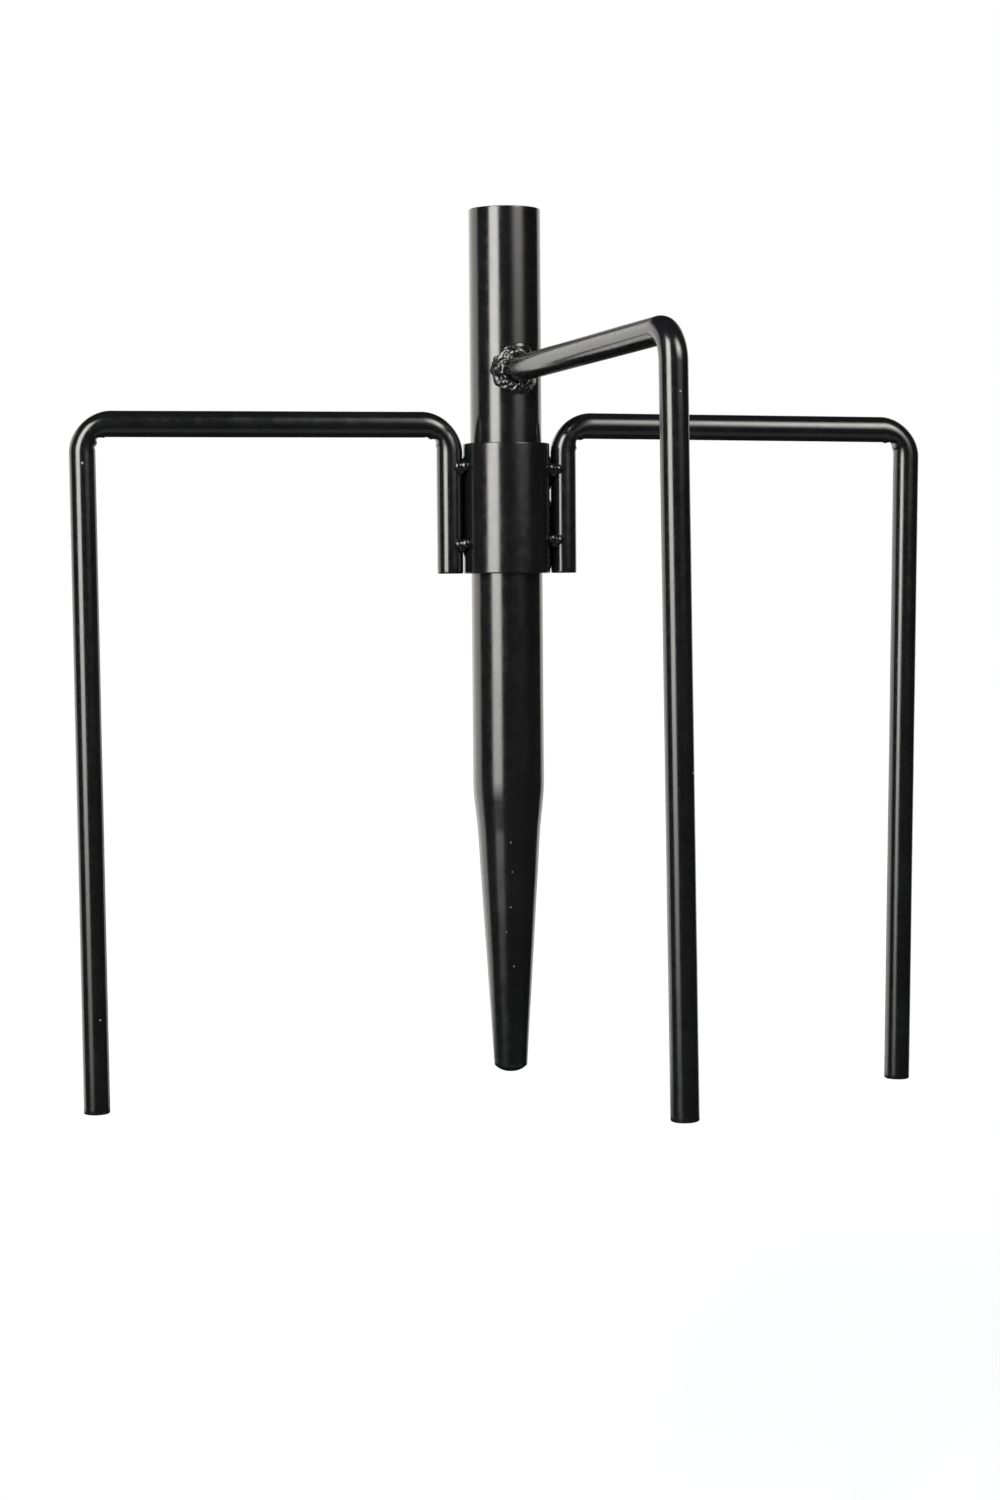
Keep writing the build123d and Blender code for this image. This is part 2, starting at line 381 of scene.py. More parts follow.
def graded(length, step, fine):
    """Shares of a run from 0 up to, not with, 1: even steps, with one fine step in from each end."""
    steps = max(int(length / step), 1)
    share = np.linspace(0, 1, steps + 1)[:-1]
    small = min(fine / max(length, fine), 0.2)
    return np.unique(np.concatenate([share, [small, 1 - small]]))


def directions(rows, sides, gap=0.0):
    """Unit directions on a grid from pole to pole, which stops short of each pole by a gap in radians."""
    polar = np.linspace(gap, np.pi - gap, rows)[:, None]
    turn = np.linspace(0, 2 * np.pi, sides, endpoint=False)[None, :]
    level = np.cos(polar) + 0 * turn
    return np.stack([np.sin(polar) * np.cos(turn), np.sin(polar) * np.sin(turn), level], -1)


def blob(name, centre, lobes, seed, roughness, rows=40, sides=64):
    """Weld bead: for each direction from the centre, the farthest reach of any lobe, then small lumps.

    A lobe is a ball (offset, radius), and the reach along a direction d is d.o + sqrt((d.o)^2 - |o|^2 + r^2).
    The farthest is taken softly, as the logarithm of the sum of the reaches' exponentials.
    """
    direction = directions(rows, sides)
    reaches = []
    for offset, radius in lobes:
        dot = direction @ np.asarray(offset, float)
        inner = dot**2 - np.dot(offset, offset) + radius**2
        reaches.append(dot + np.sqrt(np.clip(inner, 0, None)))
    sharpness = 9.0
    reach = np.log(sum(np.exp(sharpness * r) for r in reaches)) / sharpness
    lumps = ripples(seed, 9, *(direction[..., i] * 5.5 for i in range(3)))
    pits = ripples(seed + 1, 9, *(direction[..., i] * 13.0 for i in range(3)))
    reach = reach * (1 + roughness * lumps + 0.45 * roughness * pits)
    return capped_tube(name, (np.asarray(centre) + direction * reach[..., None]) * MM)


def finish_piece(piece, body, slot_name, material, *nodes):
    """Gives a piece its material, hangs it on its body and hides the solids it stands for."""
    piece.data.materials.append(material)
    if nodes:
        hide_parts(*nodes)
    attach(piece, body)
    return piece


def socket(node, name, value):
    """Sets a shader input to a constant."""
    node.inputs[name].default_value = value


def new_material(name):
    """New material with nodes. Returns it, its nodes and its links."""
    material = bpy.data.materials.new(name)
    material.use_nodes = True
    return material, material.node_tree.nodes, material.node_tree.links


def blend(nodes, links, share, first, second):
    """Colour that goes from the first to the second with a share."""
    node = nodes.new("ShaderNodeMix")
    node.data_type = "RGBA"
    node.inputs[6].default_value = (*first, 1.0)
    node.inputs[7].default_value = (*second, 1.0)
    links.new(share, node.inputs[0])
    return node.outputs[2]


def coat_material(name, look, gloss, ripple=1.0):
    """Satin powder coat: near-black paint, fine orange peel, sparse dust nibs and a faint uneven gloss.

    gloss is its roughness, and ripple is how many times the usual depth its orange peel has.
    """
    material = bpy.data.materials.get(name)
    if material:
        return material
    material, nodes, links = new_material(name)
    paint = nodes["Principled BSDF"]
    place = nodes.new("ShaderNodeTexCoord").outputs["Object"]

    def noise(scale, detail, roughness=0.5):
        node = nodes.new("ShaderNodeTexNoise")
        socket(node, "Scale", scale)
        socket(node, "Detail", detail)
        socket(node, "Roughness", roughness)
        links.new(place, node.inputs["Vector"])
        return node.outputs["Fac"]

    def ramp(value, low, high, start, end):
        node = nodes.new("ShaderNodeMapRange")
        node.interpolation_type = "SMOOTHSTEP"
        for key, number in zip(("From Min", "From Max", "To Min", "To Max"), (low, high, start, end)):
            socket(node, key, number)
        links.new(value, node.inputs["Value"])
        return node.outputs["Result"]

    def bump(height, distance, below=None):
        node = nodes.new("ShaderNodeBump")
        socket(node, "Strength", 1.0)
        socket(node, "Distance", distance)
        links.new(height, node.inputs["Height"])
        if below:
            links.new(below, node.inputs["Normal"])
        return node.outputs["Normal"]

    peel = noise(1.0 / look.peel_size, 1.0)
    broad = noise(0.22 / look.peel_size, 1.0)
    cells = nodes.new("ShaderNodeTexVoronoi")
    socket(cells, "Scale", 1.0 / look.nib_spacing)
    links.new(place, cells.inputs["Vector"])
    dot = ramp(cells.outputs["Distance"], 0.0, look.nib_size / look.nib_spacing, 1.0, 0.0)
    chosen = nodes.new("ShaderNodeSeparateColor")
    links.new(cells.outputs["Color"], chosen.inputs["Color"])
    held = ramp(chosen.outputs["Red"], look.nib_share, look.nib_share + 0.02, 1.0, 0.0)
    nibs = nodes.new("ShaderNodeMath")
    nibs.operation = "MULTIPLY"
    links.new(dot, nibs.inputs[0])
    links.new(held, nibs.inputs[1])
    normal = bump(broad, 2.5 * look.peel_depth * ripple)
    normal = bump(peel, look.peel_depth * ripple, normal)
    normal = bump(nibs.outputs[0], look.nib_height, normal)
    links.new(normal, paint.inputs["Normal"])

    haze = ramp(noise(60.0, 3.0), 0.35, 0.75, 0.0, 1.0)
    faded = [1.5 * channel for channel in look.coat_colour]
    links.new(blend(nodes, links, haze, look.coat_colour, faded), paint.inputs["Base Color"])
    links.new(ramp(noise(420.0, 2.0), 0.3, 0.7, gloss - 0.03, gloss + 0.04), paint.inputs["Roughness"])
    socket(paint, "IOR", look.coat_ior)
    socket(paint, "Metallic", 0.0)
    return material


def satin_coat(context):
    """The coat of the bars, the pole and the collar."""
    look = context.scene.stake_finish
    return coat_material("satin_black_coat", look, look.coat_roughness)


def pale_speck_material(name, look):
    """Pale grey specks that show as bright dots on the black coat: pale and darker grey grains under a thin
    glossy skin.
    """
    material, nodes, links = new_material(name)
    paint = nodes["Principled BSDF"]
    grain = nodes.new("ShaderNodeTexNoise")
    socket(grain, "Scale", 3000.0)
    links.new(nodes.new("ShaderNodeTexCoord").outputs["Object"], grain.inputs["Vector"])
    dark = [0.5 * channel for channel in look.speck_colour]
    links.new(blend(nodes, links, grain.outputs["Fac"], dark, look.speck_colour), paint.inputs["Base Color"])
    gloss = nodes.new("ShaderNodeMapRange")
    socket(gloss, "To Min", 0.25)
    socket(gloss, "To Max", 0.45)
    links.new(grain.outputs["Fac"], gloss.inputs["Value"])
    links.new(gloss.outputs["Result"], paint.inputs["Roughness"])
    relief = nodes.new("ShaderNodeBump")
    socket(relief, "Distance", look.peel_depth)
    links.new(grain.outputs["Fac"], relief.inputs["Height"])
    links.new(relief.outputs["Normal"], paint.inputs["Normal"])
    return material


class StakeFinish(bpy.types.PropertyGroup):
    """Look of the paint."""

    coat_colour: bpy.props.FloatVectorProperty(
        name="Coat colour", description="Body colour of the black powder coat",
        subtype="COLOR", size=3, min=0.0, max=1.0, default=(0.0055, 0.0057, 0.0062),
    )
    # Pale grey of the specks, which show as bright dots on the black coat
    speck_colour: bpy.props.FloatVectorProperty(
        name="Dust colour", description="Colour of the dust nibs", subtype="COLOR", size=3, min=0.0, max=1.0,
        default=(0.42, 0.43, 0.44),
    )
    coat_roughness: bpy.props.FloatProperty(
        name="Coat roughness", description="Roughness of the satin coat", subtype="FACTOR",
        min=0.0, max=1.0, default=0.175,
    )
    weld_roughness: bpy.props.FloatProperty(
        name="Weld roughness", description="Roughness of the coat where it pools on welds",
        subtype="FACTOR", min=0.0, max=1.0, default=0.12,
    )
    ring_roughness: bpy.props.FloatProperty(
        name="Ring roughness", description="Roughness of the thicker coat on the front prong's weld ring",
        subtype="FACTOR", min=0.0, max=1.0, default=0.24,
    )
    coat_ior: bpy.props.FloatProperty(
        name="Coat IOR", description="Refractive index of the coat", min=1.0, max=3.0, default=1.62,
    )
    peel_size: bpy.props.FloatProperty(
        name="Orange peel size", description="Distance between the ripples of the orange peel",
        subtype="DISTANCE", unit="LENGTH", default=1.1 * MM,
    )
    peel_depth: bpy.props.FloatProperty(
        name="Orange peel depth", description="Height of the ripples of the orange peel",
        subtype="DISTANCE", unit="LENGTH", default=0.003 * MM,
    )
    nib_spacing: bpy.props.FloatProperty(
        name="Nib spacing", description="Size of the cells that may hold one dust nib",
        subtype="DISTANCE", unit="LENGTH", default=3.2 * MM,
    )
    nib_size: bpy.props.FloatProperty(
        name="Nib size", description="Radius of a dust nib", subtype="DISTANCE", unit="LENGTH",
        default=0.25 * MM,
    )
    nib_height: bpy.props.FloatProperty(
        name="Nib height", description="Height of a dust nib", subtype="DISTANCE", unit="LENGTH",
        default=0.05 * MM,
    )
    nib_share: bpy.props.FloatProperty(
        name="Nib share", description="Share of the cells that hold a dust nib", subtype="FACTOR",
        min=0.0, max=1.0, default=0.05,
    )


class StakeSizes(bpy.types.PropertyGroup):
    """Sizes of the bars, the pole and the welds."""

    bar_radius: bpy.props.FloatProperty(
        name="Bar radius", description="Radius of the prongs' round bar", subtype="DISTANCE",
        unit="LENGTH", default=4.0 * MM,
    )
    bar_edge: bpy.props.FloatProperty(
        name="Bar edge", description="Radius of the round on a bar's cut end", subtype="DISTANCE",
        unit="LENGTH", default=0.5 * MM,
    )
    bend_radius: bpy.props.FloatProperty(
        name="Bend radius", description="Radius of a bend at the bar's centre", subtype="DISTANCE",
        unit="LENGTH", default=8.8 * MM,
    )
    kink: bpy.props.FloatProperty(
        name="Kink", description="How far the inside of a bend may sink towards its sharp corner",
        subtype="DISTANCE", unit="LENGTH", default=1.7 * MM,
    )
    crease: bpy.props.FloatProperty(
        name="Crease", description="How far the creases inside a bend stand out", subtype="DISTANCE",
        unit="LENGTH", default=0.6 * MM,
    )
    flattening: bpy.props.FloatProperty(
        name="Flattening", description="How much the outside of a bend flattens", subtype="DISTANCE",
        unit="LENGTH", default=0.15 * MM,
    )
    coat_wave: bpy.props.FloatProperty(
        name="Coat wave", description="Depth of the long waves in the coat", subtype="DISTANCE",
        unit="LENGTH", default=0.03 * MM,
    )
    bar_sides: bpy.props.IntProperty(
        name="Bar sides", description="Points round a bar", min=16, max=256, default=72,
    )
    run_step: bpy.props.FloatProperty(
        name="Run step", description="Distance between rings on a straight run", subtype="DISTANCE",
        unit="LENGTH", default=1.6 * MM,
    )
    bend_step: bpy.props.FloatProperty(
        name="Bend step", description="Distance between rings in a bend", subtype="DISTANCE",
        unit="LENGTH", default=0.22 * MM,
    )
    pole_sides: bpy.props.IntProperty(
        name="Pole sides", description="Points round the pole and the collar", min=32, max=512, default=160,
    )
    pole_wall: bpy.props.FloatProperty(
        name="Pole wall", description="Thickness of the pole's tube", subtype="DISTANCE", unit="LENGTH",
        default=1.0 * MM,
    )


class StakeStudio(bpy.types.PropertyGroup):
    """Camera and light."""

    camera_place: bpy.props.FloatVectorProperty(
        name="Camera place", description="Where the camera stands", subtype="TRANSLATION", unit="LENGTH",
        size=3, default=(-183.078 * MM, -880.83 * MM, -43.168 * MM),
    )
    camera_turn: bpy.props.FloatVectorProperty(
        name="Camera turn", description="How the camera is turned about X, Y and Z", subtype="EULER",
        size=3, default=(angle(86.594), angle(0.464), angle(-11.602)),
    )
    lens: bpy.props.FloatProperty(
        name="Lens", description="Focal length on a sensor 36 mm high, in millimetres", default=69.456,
    )
    floor_height: bpy.props.FloatProperty(
        name="Floor height", description="Height of the floor", subtype="DISTANCE", unit="LENGTH",
        default=-0.42,
    )
    panel_colour: bpy.props.FloatVectorProperty(
        name="Panel colour", description="Colour of the panels that the coat reflects", subtype="COLOR",
        size=3, min=0.0, max=1.0, default=(1.0, 0.99, 0.955),
    )
    cloth_glow: bpy.props.FloatProperty(
        name="Cloth glow", description="Brightness of the black cloth between the panels", default=0.02,
    )
    sheet_glow: bpy.props.FloatProperty(
        name="Sheet glow", description="Brightness of the grey sheet on the floor in front", default=0.25,
    )
    lamp_power: bpy.props.FloatProperty(
        name="Lamp power", description="Power of the soft lamp", subtype="POWER", unit="POWER", default=22.0,
    )
    room_level: bpy.props.FloatProperty(
        name="Room level", description="Strength of the world on matt surfaces", default=0.5,
    )
    floor_margin: bpy.props.FloatProperty(
        name="Floor margin", description="How far the open floor is past white", default=0.03,
    )


class STAKE_OT_pole(bpy.types.Operator):
    """Builds the pole's tube with its swaged spike, and the plug in its tip"""

    bl_idname = "stake.pole"
    bl_label = "Build pole"

    def execute(self, context):
        sizes = context.scene.stake_sizes
        coat = satin_coat(context)
        outer = POLE_HIGH.x
        inner = outer - sizes.pole_wall
        top, foot = POLE_HIGH.z, POLE_LOW.z
        corners = [
            (inner, SHOULDER_TOP), (inner, top), (outer, top), (outer, SHOULDER_TOP),
            (SHOULDER_FOOT_RADIUS, SHOULDER_FOOT), (SPIKE_END_RADIUS, foot), (SPIKE_BORE_RADIUS, foot),
            (SPIKE_BORE_RADIUS, foot + 4 * MM), (SHOULDER_FOOT_RADIUS - sizes.pole_wall, SHOULDER_FOOT),
            (inner, SHOULDER_TOP - 0.5 * MM),
        ]
        radii = [0.25 * MM, 0.3 * MM, 60 * MM, 60 * MM, 1.1 * MM, 0.3 * MM, 0.3 * MM, 2 * MM]
        profile = rounded_line(corners, radii, 2.0 * MM, 0.2 * MM)

        def dent(turn, radius, height):
            """Shallow waves on the tube, and stronger ones with a long pitch where the spike was swaged."""
            swaged = smooth((SHOULDER_TOP - height) / (12 * MM))
            waves = ripples(11, 8, height / (16 * MM), 1.4 * np.cos(turn), 1.4 * np.sin(turn))
            marks = ripples(12, 8, height / (5 * MM), 2.2 * np.cos(turn), 2.2 * np.sin(turn))
            outside = smooth((radius - 5 * MM) / (1 * MM))
            return outside * (1 + waves + swaged * 1.4 * (1 + marks)) * 0.015 * MM

        pole = turned_shell("pole_tube", profile, sizes.pole_sides, dent)
        finish_piece(pole, "pole", "black_powder_coat", coat, "spiked_pole")

        share = np.linspace(0, 1, 28)
        rim = SPIKE_END_RADIUS - 0.35 * MM
        dome = PLUG_LOW.z - 0.3 * MM + (foot + 0.55 * MM - PLUG_LOW.z) * share**2.6
        crown = np.stack([rim * share, dome], -1)
        wall = np.stack([np.linspace(rim - 0.2 * MM, SPIKE_BORE_RADIUS, 4), np.full(4, foot + 0.5 * MM)], -1)
        top_edge = [(SPIKE_BORE_RADIUS, PLUG_HIGH.z - 0.3 * MM), (SPIKE_BORE_RADIUS, PLUG_HIGH.z)]
        wall = np.concatenate([wall, top_edge])
        back = np.stack([SPIKE_BORE_RADIUS * np.linspace(0.9, 0, 5), np.full(5, PLUG_HIGH.z)], -1)
        outline = np.concatenate([crown, wall, back])[:, None, :]
        turn = np.linspace(0, 2 * np.pi, 64, endpoint=False)[None, :]
        rings = np.stack(
            [outline[..., 0] * np.cos(turn), outline[..., 0] * np.sin(turn), outline[..., 1] + 0 * turn], -1
        )
        plug = capped_tube("spike_plug", rings)
        finish_piece(plug, "pole", "black_powder_coat", coat, "spike_tip_plug")
        return {"FINISHED"}


class STAKE_OT_collar(bpy.types.Operator):
    """Builds the collar that turns on the pole"""

    bl_idname = "stake.collar"
    bl_label = "Build collar"

    def execute(self, context):
        sizes = context.scene.stake_sizes
        coat = satin_coat(context)
        outer, inner = COLLAR_HIGH.x, POLE_HIGH.x + 0.15 * MM
        top, foot = COLLAR_HIGH.z, COLLAR_LOW.z
        middle = (top + foot) / 2
        corners = [
            (inner, middle), (inner, top), (outer, top), (outer, foot), (inner, foot),
            (inner, middle - 0.3 * MM),
        ]
        profile = rounded_line(corners, [0.5 * MM, 0.35 * MM, 0.35 * MM, 0.5 * MM], 1.5 * MM, 0.08 * MM)

        def dent(turn, radius, height):
            """Shallow waves on the outside, as the saw and the coat leave them."""
            waves = ripples(21, 8, height / (11 * MM), 2.0 * np.cos(turn), 2.0 * np.sin(turn))
            outside = smooth((radius - inner - 0.5 * MM) / (1 * MM))
            return outside * (1 + waves) * 0.02 * MM

        collar = turned_shell("collar_sleeve", profile, sizes.pole_sides, dent)
        finish_piece(collar, "collar", "black_powder_coat", coat, "swivel_collar")
        return {"FINISHED"}


class STAKE_OT_prongs(bpy.types.Operator):
    """Builds the three bent bars"""

    bl_idname = "stake.prongs"
    bl_label = "Build prongs"

    def execute(self, context):
        sizes = context.scene.stake_sizes
        coat = satin_coat(context)
        foot = COLLAR_LOW.z - COLLAR_ARM_HEIGHT
        tip = COLLAR_LEG_TIP - COLLAR_ARM_HEIGHT
        left = [(LEFT_STUB_OUT, foot), (LEFT_STUB_OUT, LEFT_STUB_OUT * np.tan(angle(LEFT_ARM_RISE)))]
        left += prong_corners(LEFT_ARM_RISE, LEFT_LEG_LEAN, tip)
        bar = bent_bar("left_prong_bar", LEFT_BEARING, COLLAR_ARM_HEIGHT, 0.0, left, 31, LEFT_CREASES, sizes)
        finish_piece(bar, "collar", "black_powder_coat", coat, "left_prong")
        right = [(RIGHT_STUB_OUT, foot), (RIGHT_STUB_OUT, RIGHT_STUB_OUT * np.tan(angle(RIGHT_ARM_RISE)))]
        right += prong_corners(RIGHT_ARM_RISE, RIGHT_LEG_LEAN, tip)
        bar = bent_bar(
            "right_prong_bar", RIGHT_BEARING, COLLAR_ARM_HEIGHT, 0.0, right, 32, RIGHT_CREASES, sizes
        )
        finish_piece(bar, "collar", "black_powder_coat", coat, "right_prong")
        inside = POLE_HIGH.x - sizes.pole_wall / 2
        front = [(inside, inside * np.tan(angle(FRONT_ARM_RISE)))]
        front += prong_corners(FRONT_ARM_RISE, FRONT_LEG_LEAN, FRONT_LEG_TIP - FRONT_ARM_HEIGHT)
        bar = bent_bar(
            "front_prong_bar", FRONT_BEARING, FRONT_ARM_HEIGHT, FRONT_ROLL, front, 33, FRONT_CREASES, sizes
        )
        finish_piece(bar, "pole", "black_powder_coat", coat, "fixed_prong")
        return {"FINISHED"}


class STAKE_OT_front_weld(bpy.types.Operator):
    """Builds the lumpy weld ring where the front prong meets the pole.

    The ring lies on the pole's wall, at the square root of R^2 - x^2 from the axis. Its section is a round
    that lumps, pits and grit roughen, nearly calm at the crest, and its outer toe flattens to the wall.
    """

    bl_idname = "stake.front_weld"
    bl_label = "Build front weld"

    def execute(self, context):
        look = context.scene.stake_finish
        weld = coat_material("lumpy_black_coat", look, look.ring_roughness, 3.0)
        origin, outward, upward, sideways = prong_axes(FRONT_BEARING, FRONT_ARM_HEIGHT, 0.0)
        around = np.linspace(0, 2 * np.pi, 320, endpoint=False)[:, None]
        section = np.linspace(0, 2 * np.pi, 56, endpoint=False)[None, :]
        x, y, u, v = np.cos(around), np.sin(around), np.cos(section), np.sin(section)
        lumps = ripples(41, 13, 9.0 * x, 9.0 * y, 5.0 * u, 5.0 * v)
        pits = ripples(42, 15, 20.0 * x, 20.0 * y, 9.0 * u, 9.0 * v)
        grit = ripples(44, 15, 34.0 * x, 34.0 * y, 7.0 * u, 7.0 * v)
        sway = ripples(43, 6, 2.2 * x, 2.2 * y)
        crest = hump(around, CREST_TURN, 0.5) * hump(section, CREST_SECTION_TURN, 0.25)
        rough = 1 - 0.93 * hump(around, CREST_TURN, 0.65)
        relief = RING_LUMP * lumps + RING_PIT * pits + RING_GRIT * grit
        size = (RING_SECTION + rough * relief + RING_CREST * crest) * MM
        ring = (RING_RADIUS + 0.4 * sway + 0.6 * hump(around, SWELL_TURN, 0.7)) * MM
        reach = ring + 1.2 * size * u
        wall = np.sqrt(np.clip(POLE_HIGH.x**2 - (reach * x) ** 2, 0, None))
        toe = 1 - 0.4 * smooth((u + 0.3) / 1.3)
        lift = 0.3 * MM + size * v * toe
        offset = reach[..., None] * (x[..., None] * sideways + y[..., None] * upward)
        rings = origin + (wall + lift)[..., None] * outward + offset
        ring_weld = closed_ring("front_prong_weld_ring", rings)
        finish_piece(ring_weld, "pole", "coated_weld", weld, "fixed_prong_weld")
        return {"FINISHED"}


class STAKE_OT_tacks(bpy.types.Operator):
    """Builds the tacks and back seams of the collar's stubs, and the stop beads behind the pole"""

    bl_idname = "stake.tacks"
    bl_label = "Build tacks"

    def execute(self, context):
        look = context.scene.stake_finish
        weld = coat_material("pooled_black_coat", look, look.weld_roughness, 2.4)
        for node, (centre, side, seed) in TACKS.items():
            lobes = [
                ((1.05 * side, -0.6, 0.3), 1.62), ((-1.15 * side, -0.4, 0.1), 1.55), ((-0.2, 0.2, -1.0), 1.5),
            ]
            bead = blob(node + "_bead", centre, lobes, seed, TACK_ROUGHNESS)
            finish_piece(bead, "collar", "coated_weld", weld, node)
        for node, seed in BACK_SEAMS:
            low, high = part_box(node)
            bead = self.seam(node + "_bead", low, high, seed)
            finish_piece(bead, "collar", "coated_weld", weld, node)
        for node, seed in STOP_BEADS:
            low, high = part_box(node)
            middle = (low + high) / 2 / MM
            bead = blob(node + "_blob", (middle.x, middle.y, middle.z), STOP_LOBES, seed, STOP_ROUGHNESS)
            finish_piece(bead, "pole", "coated_weld", weld, node)
        return {"FINISHED"}

    def seam(self, name, low, high, seed):
        """Long bead along Z: a round section that swells once in each weld pool.

        Over one pool's length at either end it shrinks to a point, as a quarter round does.
        """
        middle = (low + high) / 2
        length = high.z - low.z
        pool = 1.9 * MM
        share = np.linspace(0, 1, int(length / (0.15 * MM)))[:, None]
        turn = np.linspace(0, 2 * np.pi, 40, endpoint=False)[None, :]
        into_end = np.clip(np.abs(share - 0.5) * length - length / 2 + pool, 0, None) / pool
        ends = np.sqrt(np.clip(1 - into_end**2, 0, 1))
        pools = 0.5 + 0.5 * np.cos(share * length / pool * 2 * np.pi + 0.8 * np.cos(turn))
        lumps = ripples(seed, 8, share * length / (1.3 * MM), 1.5 * np.cos(turn), 1.5 * np.sin(turn))
        size = ends * (1.72 + 0.13 * pools + 0.07 * lumps) * MM
        rings = np.stack([
            middle.x + size * np.cos(turn), middle.y + size * np.sin(turn) - 0.1 * MM,
            low.z + share * length + 0 * turn,
        ], -1)
        return capped_tube(name, rings)


class STAKE_OT_nibs(bpy.types.Operator):
    """Builds the pale grey specks on the coat, which show as bright dots"""

    bl_idname = "stake.nibs"
    bl_label = "Build nibs"

    def execute(self, context):
        # Pale grey paint of the specks, which show as bright dots
        dust = pale_speck_material("pale_specks", context.scene.stake_finish)
        eye = np.array(context.scene.stake_studio.camera_place)
        bar_radius = context.scene.stake_sizes.bar_radius
        legs = {
            "left": (LEFT_BEARING, COLLAR_ARM_HEIGHT, 0.0, LEFT_ARM_RISE, LEFT_LEG_LEAN),
            "right": (RIGHT_BEARING, COLLAR_ARM_HEIGHT, 0.0, RIGHT_ARM_RISE, RIGHT_LEG_LEAN),
            "front": (FRONT_BEARING, FRONT_ARM_HEIGHT, FRONT_ROLL, FRONT_ARM_RISE, FRONT_LEG_LEAN),
        }
        balls = {"collar": [], "pole": []}
        for host, height, side, size in NIBS:
            level = height * MM
            if host == "spike":
                centre = np.array([0.0, 0.0, level])
                share = (level - POLE_LOW.z) / (SHOULDER_FOOT - POLE_LOW.z)
                radius = SPIKE_END_RADIUS + share * (SHOULDER_FOOT_RADIUS - SPIKE_END_RADIUS)
            else:
                bearing, arm, roll, rise, lean = legs[host]
                origin, outward, upward, _ = prong_axes(bearing, arm, roll)
                (reach, corner), _ = prong_corners(rise, lean, 0.0)
                up = level - arm
                centre = origin + (reach - (corner - up) * np.tan(angle(lean))) * outward + up * upward
                radius = bar_radius
            turn = np.arctan2(eye[1] - centre[1], eye[0] - centre[0]) + angle(side)
            place = centre + (radius - 0.5 * size * MM) * np.array([np.cos(turn), np.sin(turn), 0.0])
            balls["collar" if host in ("left", "right") else "pole"].append((place, size * MM))
        for body, group in balls.items():
            piece = self.balls(body + "_nibs", group)
            finish_piece(piece, body, "black_powder_coat", dust)
        return {"FINISHED"}

    def balls(self, name, group):
        """Small balls in one mesh, each its centre plus its radius times every direction on a grid."""
        rows, sides = 9, 14
        grid = directions(rows, sides, 0.02).reshape(-1, 3)
        count = len(grid) + 2
        grid = np.concatenate([grid, [(0.0, 0.0, 1.0), (0.0, 0.0, -1.0)]])
        side = np.arange(sides)
        beside = (side + 1) % sides
        last = (rows - 1) * sides
        fan = np.stack([np.full(sides, count - 2), side, beside, beside], -1)
        end = np.stack([np.full(sides, count - 1), last + beside, last + side, last + side], -1)
        faces = np.concatenate([ring_faces(rows, sides, False)[:, ::-1], fan, end])
        points = np.concatenate([place + size * grid for place, size in group])
        return mesh_object(name, points, np.concatenate([faces + i * count for i in range(len(group))]))


